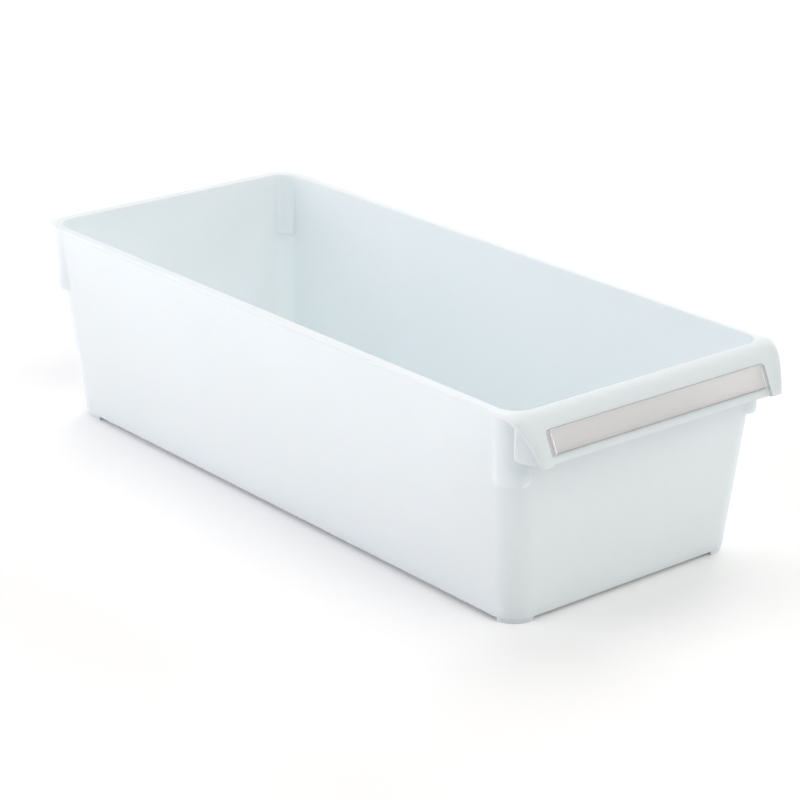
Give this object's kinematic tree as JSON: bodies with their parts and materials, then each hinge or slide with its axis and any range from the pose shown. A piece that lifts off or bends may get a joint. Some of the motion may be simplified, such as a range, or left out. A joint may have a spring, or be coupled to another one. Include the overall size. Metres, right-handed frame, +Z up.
{
  "type": "fridge storage bin",
  "caption": "Long open fridge bin with drafted walls, hollow corner posts that stop nested bins, corner feet and a front pull lip holding a slide-out label window over a blank card.",
  "frame": {"origin": "on the shelf plane under the feet, at the middle of the bin's overall width and length", "axes": "+Z up, -Y towards the pull lip at the front, X across the width"},
  "size_m": [0.15, 0.3566, 0.0975],
  "materials": {
    "bin_plastic": "pale blue-white moulded polypropylene, soft gloss, slightly translucent",
    "clear_plastic": "clear polystyrene, polished",
    "label_paper": "uncoated warm grey card"
  },
  "bodies": {
    "bin": {"tub": "bin_plastic"},
    "window": {"label_window": "clear_plastic"},
    "card": {"label_card": "label_paper"}
  },
  "joints": [
    {"name": "window_slide", "type": "slide", "parent": "bin", "child": "window", "axis": [0, -0.4274, -0.9041], "range_m": [0, 0.012]},
    {"name": "card_slide", "type": "slide", "parent": "bin", "child": "card", "axis": [0, -0.4274, -0.9041], "range_m": [0, 0.012]}
  ]
}
